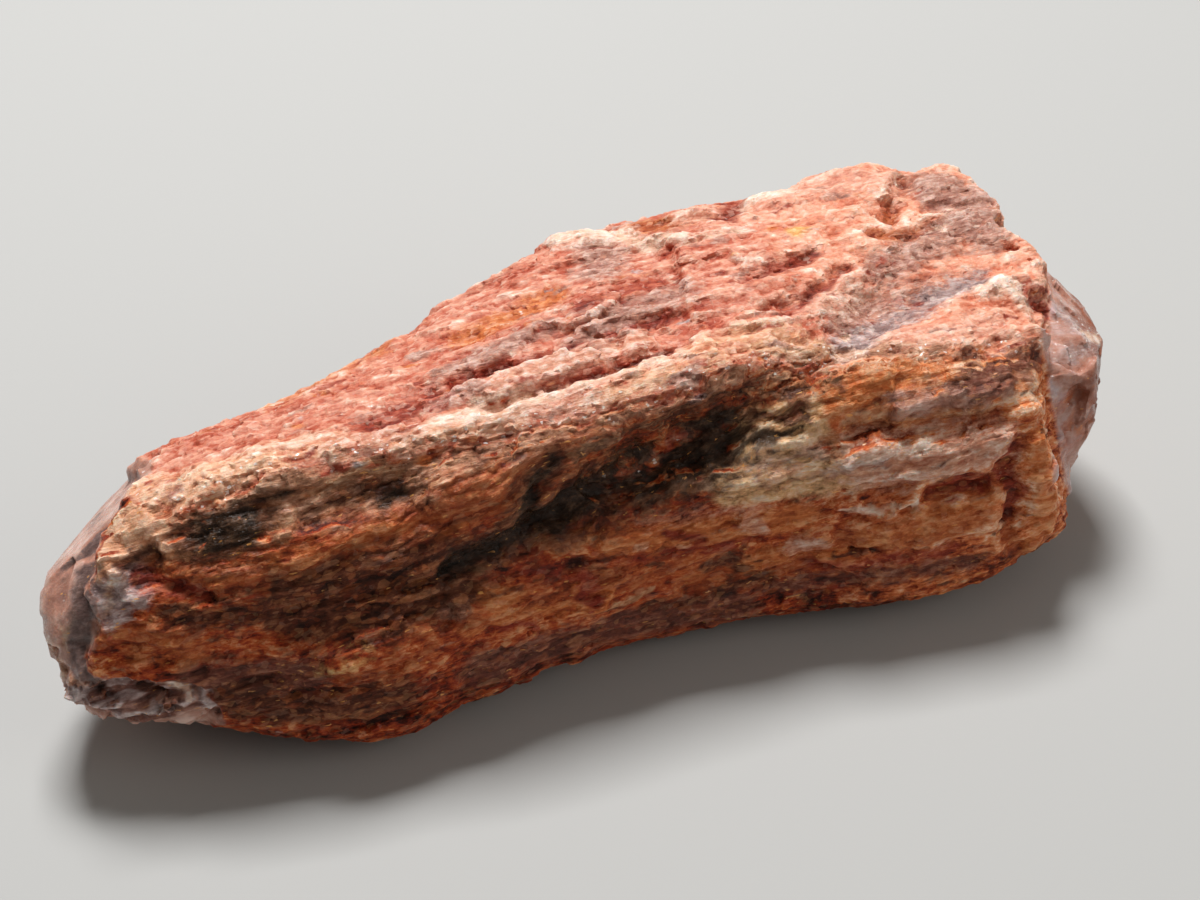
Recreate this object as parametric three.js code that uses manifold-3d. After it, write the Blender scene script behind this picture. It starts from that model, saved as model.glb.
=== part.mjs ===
// A cacoxenite amethyst crystal, lying on one of its long faces.
// Millimetres, +Z up. +X runs along the crystal from its narrow end to its wide end, and -Y is its tall front face.
// The crystal is one piece: a red fibrous mantle, from which the bare amethyst shows at both ends.
import * as THREE from "three";
import { mergeVertices } from "three/addons/utils/BufferGeometryUtils.js";
import Module from "manifold-3d";

const wasm = await Module();
wasm.setup();

// Driving dimensions
const MANTLE_ENDS = [3.2, 58.0]; // where the red mantle stops along X
const NARROW_CORE_ENDS = [-0.6, 10];
const WIDE_CORE_ENDS = [50, 58.6];
const MANTLE_MESH = { around: 52, along: 60, dome: 0.6 };
const CORE_MESH = { around: 36, along: 14, dome: 1.4 };
const DOME_ROWS = 4; // rings of each rounded end
const EDGE_SOFTNESS = 0.34; // 0 keeps the long edges sharp, 0.5 rounds them fully
const SOLE_Z = 0; // the level of the flat face that it lies on
const BREAK_SIZE = 60; // a side of the blocks that cut it, more than the crystal's depth and height
const STONE_COLOUR = "#9c5238";

// The long edges of the mantle, going round it from the lower front, as [x, y, z] points.
const MANTLE_EDGES = {
  toe: [[0, -7.0, 5.0], [3, -7.6, 4.4], [6, -8.4, 3.5], [10, -9.8, 2.2], [14, -10.5, 1.4], [18, -9.8, 1.4],
    [24, -9.1, 1.5], [30, -8.8, 1.4], [36, -9.4, 1.4], [42, -10.8, 1.5], [48, -11.4, 1.6], [53, -10.2, 1.8],
    [56, -8.4, 2.2], [60, -6.5, 3.0]],
  belly: [[0, -7.0, 7.5], [8, -8.8, 7.0], [14, -10.4, 6.4], [25, -9.6, 6.2], [34, -9.4, 6.0], [44, -11.6, 6.0],
    [52, -11.6, 6.2], [56, -10.4, 6.4], [60, -8.6, 6.4]],
  brow: [[0, -5.4, 10.6], [8, -7.0, 12.0], [16, -7.8, 12.2], [26, -8.0, 12.6], [34, -8.2, 12.8], [42, -8.8, 12.0],
    [50, -10.6, 11.0], [60, -9.8, 10.2]],
  crest: [[0, -2.4, 12.4], [3, -2.7, 13.8], [6, -2.8, 15.1], [10, -3.4, 15.8], [15, -4.1, 16.1], [22, -5.1, 16.4],
    [30, -5.5, 16.8], [37, -5.5, 17.0], [42, -5.7, 16.3], [46, -6.8, 15.2], [52, -8.4, 14.2], [60, -8.2, 13.0]],
  roof: [[0, -0.6, 12.4], [5, -0.2, 14.4], [12, -0.2, 15.6], [20, 0.6, 16.0], [30, 2.6, 16.6], [40, 3.2, 17.0],
    [47, 2.4, 16.4], [54, 1.2, 15.6], [60, 0.4, 14.6]],
  rim: [[0, 2.0, 10.6], [3, 2.7, 12.0], [6, 2.9, 13.2], [10, 3.0, 14.0], [16, 4.3, 14.2], [20, 5.9, 14.2],
    [26, 8.6, 14.4], [31, 10.7, 14.6], [36, 10.9, 14.8], [42, 10.8, 15.0], [48, 10.4, 15.3], [52, 10.1, 15.1],
    [55, 9.2, 14.9], [57, 7.4, 14.6], [60, 5.0, 14.0]],
  back: [[0, 2.8, 6.6], [8, 4.6, 8.0], [18, 6.8, 8.4], [28, 10.6, 8.6], [38, 12.4, 8.8], [48, 12.2, 8.8],
    [56, 10.4, 8.6], [60, 9.0, 8.4]],
  heel: [[0, 1.4, 3.4], [8, 3.0, 1.6], [18, 4.8, 0.8], [28, 8.0, 0.8], [38, 9.6, 0.8], [48, 9.4, 1.0],
    [56, 7.6, 1.6], [60, 6.0, 2.6]],
  sole: [[0, -2.4, 2.2], [6, -2.4, 0.2], [12, -2.6, -0.6], [30, -0.4, -0.7], [48, -1.0, -0.6], [54, -1.4, 0.0],
    [60, -1.6, 1.6]],
};

// The bare amethyst of the two ends, as long edges with fewer points.
const NARROW_CORE_EDGES = {
  toe: [[-2, -6.4, 5.6], [1, -7.8, 4.9], [4, -8.2, 4.2], [10, -9.0, 3.4]],
  belly: [[-2, -6.0, 7.4], [1, -7.0, 7.4], [4, -7.6, 7.4], [10, -8.6, 7.2]],
  brow: [[-2, -4.4, 9.2], [1, -5.0, 10.8], [4, -5.6, 11.6], [10, -6.8, 12.2]],
  crest: [[-2, -2.4, 10.0], [1, -2.2, 12.5], [4, -2.2, 14.0], [10, -2.8, 15.0]],
  rim: [[-2, -0.4, 8.8], [1, 1.6, 10.9], [4, 2.7, 12.3], [10, 2.4, 13.4]],
  heel: [[-2, -0.6, 5.4], [1, 1.4, 4.2], [4, 2.0, 3.4], [10, 2.6, 2.4]],
  sole: [[-2, -3.2, 4.4], [1, -3.4, 2.8], [4, -2.8, 2.0], [10, -2.6, 1.0]],
};
const WIDE_CORE_EDGES = {
  toe: [[50, -8.6, 3.0], [56, -7.6, 3.4], [60, -5.6, 5.8]],
  belly: [[50, -9.4, 7.0], [56, -8.4, 6.8], [60, -6.8, 8.0]],
  brow: [[50, -8.6, 11.4], [56, -7.6, 11.6], [60, -5.6, 10.6]],
  crest: [[50, -5.0, 12.8], [57, -3.4, 13.2], [60, -3.2, 11.4]],
  rim: [[50, 5.0, 13.0], [57, 2.6, 12.8], [60, 0.0, 10.8]],
  heel: [[50, 5.0, 3.0], [56, 3.6, 3.4], [60, 1.4, 5.6]],
};

// A run of capsules pressed into the skin: [x, y, z], the half width there and the depth there.
const VALLEY = [
  { at: [18, -8.9, 9.6], reach: 1.4, depth: 0.2 },
  { at: [23, -8.6, 11.0], reach: 1.7, depth: 0.5 },
  { at: [28, -8.0, 13.0], reach: 2.0, depth: 0.9 },
  { at: [34, -7.2, 14.6], reach: 2.1, depth: 1.2 },
  { at: [39.5, -5.6, 15.8], reach: 2.0, depth: 1.2 },
  { at: [44, -3.0, 16.2], reach: 1.8, depth: 0.8 },
  { at: [51, 0.0, 16.0], reach: 2.0, depth: 0.6 },
  { at: [56, 1.5, 15.4], reach: 2.0, depth: 0.5 },
];

// Single swellings (height > 0) and hollows (height < 0) of the skin.
const BUMPS = [
  { name: "shoulder", at: [32, 10.6, 14.6], reach: 2.4, height: 0.5 },
  { name: "rim saddle", at: [45, 10.2, 15.2], reach: 1.6, height: -0.7 },
  { name: "rim hump", at: [51, 10.6, 15.4], reach: 3.0, height: 0.5 },
  { name: "rim notch", at: [53.4, 9.8, 15.2], reach: 1.0, height: -0.8 },
  { name: "corner hump", at: [55.4, 8.0, 14.6], reach: 1.8, height: 0.5 },
];

// Flat breaks: everything on the outer side of the plane through `at` is gone.
const MANTLE_BREAKS = [
  { name: "wide end, back", at: [56.6, 3, 14.8], outward: [1, 0, 0.12] },
  { name: "wide end, front", at: [54.2, -7.4, 10], outward: [0.81, -0.52, 0.28] },
];
const CRYSTAL_BREAKS = [
  { name: "narrow lower chip", at: [1.2, -7.2, 4.4], outward: [-0.55, -0.5, -0.65] },
  { name: "wide end, lower", at: [59.3, -4, 10], outward: [0.85, -0.1, -0.5] },
  { name: "sole", at: [30, 0, SOLE_Z], outward: [0, 0, -1] },
];

// An edge as a smooth function of x, which gives [y, z].
function edgeCurve(points) {
  const xs = points.map(([x]) => x);
  const yzs = points.flatMap(([, y, z]) => [y, z]);
  const curve = new THREE.CubicInterpolant(xs, yzs, 2, new Float32Array(2));
  return (x) => new THREE.Vector3(x, ...curve.evaluate(x));
}

// How far the skin moves out (or in, below 0) at a point, from the valley and the bumps.
function reliefAt(point) {
  let sunk = 0;
  for (let i = 0; i + 1 < VALLEY.length; i += 1) {
    const [a, b] = [VALLEY[i], VALLEY[i + 1]];
    const line = new THREE.Line3(new THREE.Vector3(...a.at), new THREE.Vector3(...b.at));
    const share = line.closestPointToPointParameter(point, true);
    const distance = line.at(share, new THREE.Vector3()).distanceTo(point);
    const reach = THREE.MathUtils.lerp(a.reach, b.reach, share);
    const depth = THREE.MathUtils.lerp(a.depth, b.depth, share);
    sunk = Math.max(sunk, depth * Math.exp(-((distance / reach) ** 2)));
  }
  const bumped = BUMPS.map(({ at, reach, height }) => {
    const distance = point.distanceTo(new THREE.Vector3(...at));
    return height * Math.exp(-((distance / reach) ** 2));
  });
  return bumped.reduce((sum, height) => sum + height, -sunk);
}

// A closed skin through the long edges, between two values of x, with a rounded end on each.
function skinGeometry(edges, [start, end], { around, along, dome }) {
  const curves = Object.values(edges).map(edgeCurve);
  const geometry = new THREE.SphereGeometry(1, around, along);
  const position = geometry.getAttribute("position");
  const uv = geometry.getAttribute("uv");
  for (let i = 0; i < position.count; i += 1) {
    const row = Math.round((1 - uv.getY(i)) * along);
    const fromEnd = Math.min(row, along - row, DOME_ROWS) / DOME_ROWS;
    const spread = Math.sin((fromEnd * Math.PI) / 2); // 1 along the body, 0 at the two poles
    const bodyShare = THREE.MathUtils.clamp((row - DOME_ROWS) / (along - 2 * DOME_ROWS), 0, 1);
    const x = THREE.MathUtils.lerp(start, end, bodyShare);
    const outline = new THREE.CatmullRomCurve3(curves.map((curve) => curve(x)), true, "catmullrom", EDGE_SOFTNESS);
    const centre = outline.points.reduce((sum, p) => sum.add(p), new THREE.Vector3());
    centre.divideScalar(outline.points.length);
    const point = outline.getPoint(uv.getX(i) % 1);
    const outwards = point.clone().sub(centre).normalize();
    point.addScaledVector(outwards, reliefAt(point));
    point.lerpVectors(centre, point, spread);
    point.x += (row < along / 2 ? -dome : dome) * Math.sqrt(1 - spread ** 2);
    position.setXYZ(i, point.x, point.y, point.z);
  }
  return geometry;
}

// A closed geometry as a solid that can be joined and cut.
function solidOf(geometry) {
  const bare = geometry.clone();
  bare.deleteAttribute("normal");
  bare.deleteAttribute("uv");
  const merged = mergeVertices(bare, 1e-4);
  const mesh = new wasm.Mesh({
    numProp: 3,
    vertProperties: merged.getAttribute("position").array,
    triVerts: new Uint32Array(merged.index.array),
  });
  return new wasm.Manifold(mesh);
}

// The block that a flat break takes away.
function breakBlock({ at, outward }) {
  const block = new THREE.BoxGeometry(BREAK_SIZE, BREAK_SIZE, BREAK_SIZE);
  block.translate(0, 0, BREAK_SIZE / 2);
  const turn = new THREE.Quaternion().setFromUnitVectors(
    new THREE.Vector3(0, 0, 1),
    new THREE.Vector3(...outward).normalize(),
  );
  block.applyQuaternion(turn);
  block.translate(...at);
  return block;
}

function geometryOf(solid) {
  const { numProp, vertProperties, triVerts } = solid.getMesh();
  const corners = new Float32Array(triVerts.length * 3);
  triVerts.forEach((vertex, i) => {
    corners.set(vertProperties.subarray(vertex * numProp, vertex * numProp + 3), i * 3);
  });
  const geometry = new THREE.BufferGeometry();
  geometry.setAttribute("position", new THREE.BufferAttribute(corners, 3));
  geometry.computeVertexNormals();
  return geometry;
}

// A solid less what lies outside each of the breaks.
function broken(solid, breaks) {
  return breaks.reduce((left, plane) => left.subtract(solidOf(breakBlock(plane))), solid);
}

function crystalGeometry() {
  const mantle = broken(solidOf(skinGeometry(MANTLE_EDGES, MANTLE_ENDS, MANTLE_MESH)), MANTLE_BREAKS);
  const narrowCore = solidOf(skinGeometry(NARROW_CORE_EDGES, NARROW_CORE_ENDS, CORE_MESH));
  const wideCore = solidOf(skinGeometry(WIDE_CORE_EDGES, WIDE_CORE_ENDS, CORE_MESH));
  return geometryOf(broken(mantle.add(narrowCore).add(wideCore), CRYSTAL_BREAKS));
}

// Moves the geometry so that the origin is the centre of its box, at the level it rests on.
function centredOnItsBase(geometry) {
  geometry.computeBoundingBox();
  const centre = geometry.boundingBox.getCenter(new THREE.Vector3());
  geometry.translate(-centre.x, -centre.y, -geometry.boundingBox.min.z);
  return geometry;
}

const crystal = new THREE.Mesh(
  centredOnItsBase(crystalGeometry()),
  new THREE.MeshStandardMaterial({ color: STONE_COLOUR, roughness: 0.55, metalness: 0 }),
);
crystal.name = "crystal";

const part = new THREE.Group();
part.add(crystal);

export default part;
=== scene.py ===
# A cacoxenite amethyst crystal: a wedge of amethyst full of red-brown fibres, bare at its two ends.
# It lies on a long face. +X runs along it from the narrow end to the wide end, and -Y is its tall front.
import math
import random

import bmesh
import bpy
import numpy as np
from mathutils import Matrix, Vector, kdtree, noise


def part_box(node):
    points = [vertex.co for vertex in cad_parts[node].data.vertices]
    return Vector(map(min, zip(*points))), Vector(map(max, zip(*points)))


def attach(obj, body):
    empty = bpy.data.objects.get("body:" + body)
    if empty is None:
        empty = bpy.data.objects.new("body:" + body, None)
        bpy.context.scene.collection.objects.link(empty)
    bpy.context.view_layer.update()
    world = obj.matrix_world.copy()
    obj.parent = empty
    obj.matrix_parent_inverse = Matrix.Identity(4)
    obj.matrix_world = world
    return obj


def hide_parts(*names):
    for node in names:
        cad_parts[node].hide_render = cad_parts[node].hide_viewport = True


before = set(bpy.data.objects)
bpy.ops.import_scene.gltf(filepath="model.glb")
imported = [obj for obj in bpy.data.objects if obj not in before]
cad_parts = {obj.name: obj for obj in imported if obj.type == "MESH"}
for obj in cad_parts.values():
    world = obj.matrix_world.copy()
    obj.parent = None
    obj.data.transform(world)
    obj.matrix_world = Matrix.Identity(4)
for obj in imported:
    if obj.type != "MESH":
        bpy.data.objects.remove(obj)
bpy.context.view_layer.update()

MM = 0.001
LOW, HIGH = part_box("crystal")
LOW_MM = np.array(LOW) / MM
SPAN_MM = np.array(HIGH - LOW) / MM
LENGTH, _, HEIGHT = SPAN_MM

# Driving sizes, in millimetres unless they say otherwise
SKIN_GRID = 0.16          # the mesh the skin is carved on
WELD_WITHIN = 0.001       # corners of the solid this near are one
SOLE_MARGIN = 0.8         # above the flat sole, where the relief fades out
BOX_SLACK = 0.014         # how far past the solid's box the relief may stand, as a share of each side
TIP_END = 0.13            # where the narrow tip ends, as a share of the length
MOST_TRIANGLES = 190000   # the carved skin is thinned to this many
SHARP_FROM = 32           # degrees between two faces from which their edge is sharp


def spot(along, across, up):
    """A place in the crystal's box, given as shares of its length, depth and height, in millimetres."""
    return LOW_MM + np.array([along, across, up]) * SPAN_MM


def smooth_step(value, start, end):
    share = np.clip((value - start) / (end - start), 0, 1)
    return share * share * (3 - 2 * share)


# ---------------------------------------------------------------- the skin as arrays

def bare_skin():
    """A closed, evenly meshed copy of the solid, with its facets worn smooth."""
    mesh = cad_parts["crystal"].data.copy()
    bm = bmesh.new()
    bm.from_mesh(mesh)
    bmesh.ops.remove_doubles(bm, verts=bm.verts, dist=WELD_WITHIN * MM)
    bmesh.ops.recalc_face_normals(bm, faces=bm.faces)
    bm.to_mesh(mesh)
    bm.free()
    skin = bpy.data.objects.new("crystal_skin", mesh)
    bpy.context.scene.collection.objects.link(skin)
    even_out(skin)
    wear_smooth(skin, rounds=14, start=0, end=1)
    wear_smooth(skin, rounds=80, start=0, end=TIP_END)
    return skin


def even_out(piece):
    """Meshes the same shape again on an even grid."""
    remesh = piece.modifiers.new("even grid", "REMESH")
    remesh.mode = "VOXEL"
    remesh.voxel_size = SKIN_GRID * MM
    apply_modifiers(piece)


def thin_out(piece):
    """Takes triangles away where the skin is plain."""
    triangles = sum(len(polygon.vertices) - 2 for polygon in piece.data.polygons)
    decimate = piece.modifiers.new("thin out", "DECIMATE")
    decimate.ratio = min(1, MOST_TRIANGLES / triangles)
    apply_modifiers(piece)


def apply_modifiers(piece):
    evaluated = piece.evaluated_get(bpy.context.evaluated_depsgraph_get())
    finished = bpy.data.meshes.new_from_object(evaluated)
    piece.modifiers.clear()
    piece.data = finished


def read_vertices(piece, what):
    flat = np.empty(len(piece.data.vertices) * 3, np.float32)
    piece.data.vertices.foreach_get(what, flat)
    return flat.reshape(-1, 3).astype(float)


def places_of(piece):
    return read_vertices(piece, "co") / MM


def directions_of(piece):
    return read_vertices(piece, "normal")


def set_places(piece, places):
    piece.data.vertices.foreach_set("co", (places * MM).astype(np.float32).ravel())
    piece.data.update()


def averaged(piece, places, rounds):
    """The places after some rounds of moving every one to the middle of its neighbours."""
    ends = np.empty(len(piece.data.edges) * 2, np.int32)
    piece.data.edges.foreach_get("vertices", ends)
    one, other = ends.reshape(-1, 2).T
    count = len(places)
    ties = np.bincount(ends, minlength=count)
    for _ in range(rounds):
        sums = [np.bincount(one, places[other, k], count) + np.bincount(other, places[one, k], count)
                for k in range(3)]
        places = np.stack(sums, axis=1) / ties[:, None]
    return places


def wear_smooth(piece, rounds, start, end):
    """Smooths the stretch between two shares of the length."""
    places = places_of(piece)
    along = (places[:, 0] - LOW_MM[0]) / LENGTH
    fade = 0.02
    worn = smooth_step(along, start - fade, start) * (1 - smooth_step(along, end, end + fade))
    smooth = averaged(piece, places, rounds)
    set_places(piece, places + (smooth - places) * worn[:, None])


def push_out(piece, heights):
    """Moves every vertex outwards by its height, and keeps the sole flat."""
    places = places_of(piece)
    lift = smooth_step(places[:, 2], 0, SOLE_MARGIN)
    moved = places + directions_of(piece) * (heights * lift)[:, None]
    moved[:, 2] = np.maximum(moved[:, 2], 0)
    set_places(piece, moved)


def hold_in_box(piece):
    """Eases back what the relief has pushed out past the solid's own box, and leaves the foot's height."""
    before = places_of(piece)
    places = before.copy()
    room = BOX_SLACK * SPAN_MM
    for side, sign in ((LOW_MM, -1), (LOW_MM + SPAN_MM, 1)):
        past = np.maximum((places - side) * sign + room, 0)
        places -= sign * (past - 2 * room * np.tanh(past / (2 * room)))
    foot = before[:, 2] < SOLE_MARGIN
    places[foot, 2] = before[foot, 2]
    set_places(piece, places)


def cut_flat(places, cuts, share):
    """Cuts off what stands out past each flat face, given as a spot on it and the way it faces."""
    for at, facing in cuts:
        facing = np.array(facing) / np.linalg.norm(facing)
        past = np.maximum((places - spot(*at)) @ facing, 0) * share
        places = places - past[:, None] * facing
    return places


def keep_on_skin(piece, name, values):
    attribute = piece.data.attributes.new(name, "FLOAT", "POINT")
    attribute.data.foreach_set("value", values.astype(np.float32))


# ---------------------------------------------------------------- patterns of relief

CLOUD_STRIDE = 17.3       # how far apart in the noise two seeds look
CRUMB_STRIDE = 11.9
CLOUD_LAYERS = (0.9, 2.1)  # how fast the noise's finer layers fade, and how much finer each one is


def clouds(places, size, seed, octaves=2):
    """Smooth noise from about -1 to 1, in blobs about `size` across."""
    scaled = places / np.array(size) + CLOUD_STRIDE * seed
    return np.array([noise.fractal(p, *CLOUD_LAYERS, octaves) for p in scaled.tolist()])


def crumbs(places, size, seed):
    """Rounded grains about `size` across: 1 on top of each, about 0 in the gaps between them."""
    scaled = places / np.array(size) + CRUMB_STRIDE * seed
    gaps = np.array([noise.voronoi(p)[0][0] for p in scaled.tolist()])
    return 1 - np.clip(gaps, 0, 1) * 1.5


def plates(places, size, seed, lift, tilt):
    """Flat, broken plates: each has its own height and its own small slope, so they meet in sharp steps."""
    dice = random.Random(seed)
    size = np.array(size)
    count = int(np.prod(SPAN_MM + 2 * size) / np.prod(size))
    low = LOW_MM - size
    room = SPAN_MM + 2 * size
    middles = np.array([[dice.random() for _ in range(3)] for _ in range(count)]) * room + low
    lifts = np.array([dice.uniform(-lift, lift) for _ in range(count)])
    slopes = np.array([[dice.uniform(-tilt, tilt) for _ in range(3)] for _ in range(count)])
    slopes /= size / size.min()
    tree = kdtree.KDTree(count)
    for i, middle in enumerate(middles / size):
        tree.insert(middle, i)
    tree.balance()
    nearest = np.array([tree.find(p)[1] for p in (places / size).tolist()])
    return lifts[nearest] + ((places - middles[nearest]) * slopes[nearest]).sum(axis=1)


def wavered(places, amount, size, seed):
    """The same places, shifted about by smooth noise, so that patterns on them waver."""
    shifts = [clouds(places, size, seed + k) for k in range(3)]
    return places + amount * np.stack(shifts, axis=1)


FACE_AXES = {"top": [0, 1], "front": [0, 2], "end": [1, 2]}


def path_distance(places, path, face):
    """How far each place is from a path drawn on one face, and which side of it (left is above 0)."""
    axes = FACE_AXES[face]
    flat = places[:, axes]
    best = np.full(len(flat), np.inf)
    side = np.zeros(len(flat))
    points = [LOW_MM[axes] + np.array(point) * SPAN_MM[axes] for point in path]
    for a, b in zip(points, points[1:]):
        run = b - a
        share = np.clip((flat - a) @ run / (run @ run), 0, 1)
        away = flat - (a + share[:, None] * run)
        distance = np.hypot(away[:, 0], away[:, 1])
        left = run[0] * (flat[:, 1] - a[1]) - run[1] * (flat[:, 0] - a[0])
        nearer = distance < best
        best = np.where(nearer, distance, best)
        side = np.where(nearer, np.sign(left), side)
    return best, side


# ---------------------------------------------------------------- the crystal's own features

class Mark:
    """A line over one face of the crystal: a flat-topped rib, a groove if its height is below 0, or only a
    stripe of tint if it has none. With a reach it is a ledge: it steps up on the left of its line and eases
    away over the reach. Width, height and reach are in millimetres, and the path is in shares of the box."""
    def __init__(self, face, tint, width, height, strength, path, reach):
        self.face = face
        self.tint = tint
        self.width = width
        self.height = height
        self.strength = strength
        self.path = path
        self.reach = reach


def marks(face, rows, reach=0):
    """The marks of one face, from rows of a tint, a width, a height, the tint's strength and the path.
    Its points are shares of length and depth on the top, length and height on the front, depth and height
    on the wide end."""
    return [Mark(face, tint, width, height, strength, path, reach)
            for tint, width, height, strength, *path in rows]


# Where the top's front edge runs, as shares of the length and the depth.
CREST = [(0.0, 0.56), (0.075, 0.52), (0.095, 0.41), (0.13, 0.345), (0.2, 0.335), (0.27, 0.315), (0.34, 0.285),
         (0.4, 0.265), (0.46, 0.25), (0.52, 0.25), (0.58, 0.265), (0.64, 0.27), (0.7, 0.26), (0.75, 0.24),
         (0.8, 0.215), (0.88, 0.205), (1.0, 0.205)]

TOP_MARKS = marks("top", [
    # the crumbly crest, from the narrow end
    ("peach", 1.6, 0.5, 1.2, (0.095, 0.42), (0.125, 0.365), (0.16, 0.345), (0.2, 0.335)),
    ("peach", 1.2, 0.1, 0.8, (0.165, 0.39), (0.22, 0.395), (0.26, 0.37)),
    ("cream", 0.6, 0.1, 0.8, (0.2, 0.4), (0.25, 0.39)),
    ("blush", 0.8, 0.1, 0.8, (0.26, 0.36), (0.34, 0.325), (0.42, 0.29), (0.48, 0.275)),
    ("umber", 0.9, 0.15, 0.9, (0.2, 0.335), (0.27, 0.31), (0.36, 0.28)),
    ("peach", 0.8, 0, 1.1, (0.345, 0.315), (0.375, 0.3), (0.41, 0.29)),
    ("cream", 0.6, 0, 1.1, (0.35, 0.335), (0.38, 0.335), (0.43, 0.33)),
    ("cream", 0.5, 0, 0.9, (0.43, 0.325), (0.5, 0.325), (0.57, 0.335)),
    ("peach", 0.8, 0, 0.9, (0.575, 0.33), (0.62, 0.35), (0.66, 0.35)),
    ("tan", 0.5, 0, 1, (0.63, 0.31), (0.66, 0.31), (0.69, 0.3)),
    ("peach", 1.1, 0.15, 0.75, (0.5, 0.275), (0.56, 0.29), (0.62, 0.31), (0.68, 0.31)),
    ("tan", 0.6, 0.1, 0.8, (0.47, 0.27), (0.54, 0.275), (0.6, 0.285)),
    # long crevices and fingers of the middle, which run with the grain
    ("crimson", 0.35, -0.45, 1, (0.4, 0.335), (0.462, 0.35), (0.5, 0.352), (0.56, 0.36)),
    ("blush", 1, 0.4, 1, (0.4, 0.385), (0.47, 0.405), (0.54, 0.415)),
    ("salmon", 0.6, 0.2, 1, (0.42, 0.315), (0.48, 0.315), (0.55, 0.325)),
    ("mauve", 0.8, 0.35, 1, (0.355, 0.4), (0.39, 0.395)),
    ("crimson", 0.4, -0.35, 1, (0.38, 0.465), (0.43, 0.475), (0.48, 0.455), (0.53, 0.47), (0.58, 0.475)),
    ("mauve", 0.7, 0.2, 1, (0.37, 0.5), (0.43, 0.525), (0.48, 0.555)),
    ("mauve", 1.3, 0.3, 1, (0.5, 0.47), (0.55, 0.52), (0.6, 0.55)),
    ("orange", 0.9, -0.35, 1, (0.41, 0.62), (0.45, 0.64), (0.5, 0.67)),
    ("crimson", 0.7, 0.1, 0.9, (0.51, 0.58), (0.55, 0.6), (0.59, 0.62)),
    ("salmon", 0.9, 0.1, 1, (0.7, 0.42), (0.73, 0.44), (0.77, 0.48)),
    ("umber", 0.9, 0, 1.3, (0.67, 0.295), (0.71, 0.28), (0.76, 0.238), (0.79, 0.215)),
    ("crimson", 0.9, -0.3, 1, (0.3, 0.395), (0.33, 0.415), (0.36, 0.43)),
    ("orange", 0.9, 0.1, 0.7, (0.23, 0.6), (0.3, 0.66), (0.35, 0.7)),
    # the glassy facets above the cliff, and the cliff's white edge
    ("mauve", 1.6, 0.1, 1, (0.57, 0.83), (0.565, 0.77), (0.55, 0.72)),
    ("cream", 1, 0.3, 1.2, (0.545, 0.9), (0.57, 0.895), (0.595, 0.87)),
    ("cream", 0.6, 0.25, 1.2, (0.6, 0.83), (0.615, 0.78), (0.635, 0.75)),
    ("rust", 1, 0.1, 1.2, (0.62, 0.89), (0.635, 0.86), (0.645, 0.83)),
    # the lumps of the wide end
    ("crimson", 0.8, -0.5, 1, (0.69, 0.8), (0.715, 0.88)),
    ("rust", 0.6, -0.6, 1, (0.875, 0.8), (0.85, 0.73), (0.833, 0.67)),
    ("salmon", 1.6, 0.35, 1, (0.75, 0.84), (0.81, 0.85), (0.85, 0.8)),
    ("cream", 0.7, 0.1, 1, (0.73, 0.86), (0.76, 0.86)),
    ("blush", 1, 0.1, 0.9, (0.655, 0.86), (0.68, 0.83), (0.71, 0.82)),
    ("cream", 0.6, 0, 0.8, (0.64, 0.73), (0.67, 0.72), (0.7, 0.72)),
    ("mauve", 1.5, 0.2, 1.5, (0.9, 0.76), (0.92, 0.68), (0.91, 0.6)),
    ("gold", 0.5, 0, 1, (0.735, 0.655), (0.742, 0.68)),
    ("mauve", 1.2, -0.15, 1, (0.79, 0.5), (0.85, 0.56), (0.89, 0.6)),
    ("mauve", 1.2, -0.3, 1, (0.73, 0.36), (0.765, 0.41)),
    ("mauve", 1, -0.2, 0.9, (0.765, 0.42), (0.82, 0.435), (0.87, 0.42)),
    ("crimson", 0.4, -0.4, 0.9, (0.68, 0.4), (0.72, 0.46), (0.76, 0.52)),
    ("crimson", 0.5, -0.4, 0.9, (0.66, 0.52), (0.7, 0.56), (0.74, 0.58)),
    ("rust", 0.5, -0.4, 1, (0.8, 0.62), (0.83, 0.6), (0.87, 0.62)),
    ("lilac", 0.9, -0.5, 1, (0.715, 0.295), (0.745, 0.325), (0.785, 0.36), (0.805, 0.378)),
    ("cream", 0.4, 0.15, 1, (0.705, 0.285), (0.73, 0.276)),
    ("lilac", 0.9, -0.35, 1, (0.82, 0.405), (0.85, 0.42), (0.88, 0.422)),
    ("cream", 0.7, 0.25, 1, (0.872, 0.38), (0.898, 0.38), (0.9, 0.34)),
    ("salmon", 1.1, 0.3, 1, (0.77, 0.272), (0.81, 0.265), (0.86, 0.277)),
    ("crimson", 0.8, -0.3, 1, (0.91, 0.36), (0.925, 0.335)),
    # pale patches right of the crest's middle
    ("cream", 1.2, 0, 0.5, (0.715, 0.39), (0.735, 0.42), (0.76, 0.46)),
    ("cream", 0.9, 0, 0.5, (0.635, 0.26), (0.655, 0.28), (0.68, 0.3)),
])

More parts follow.
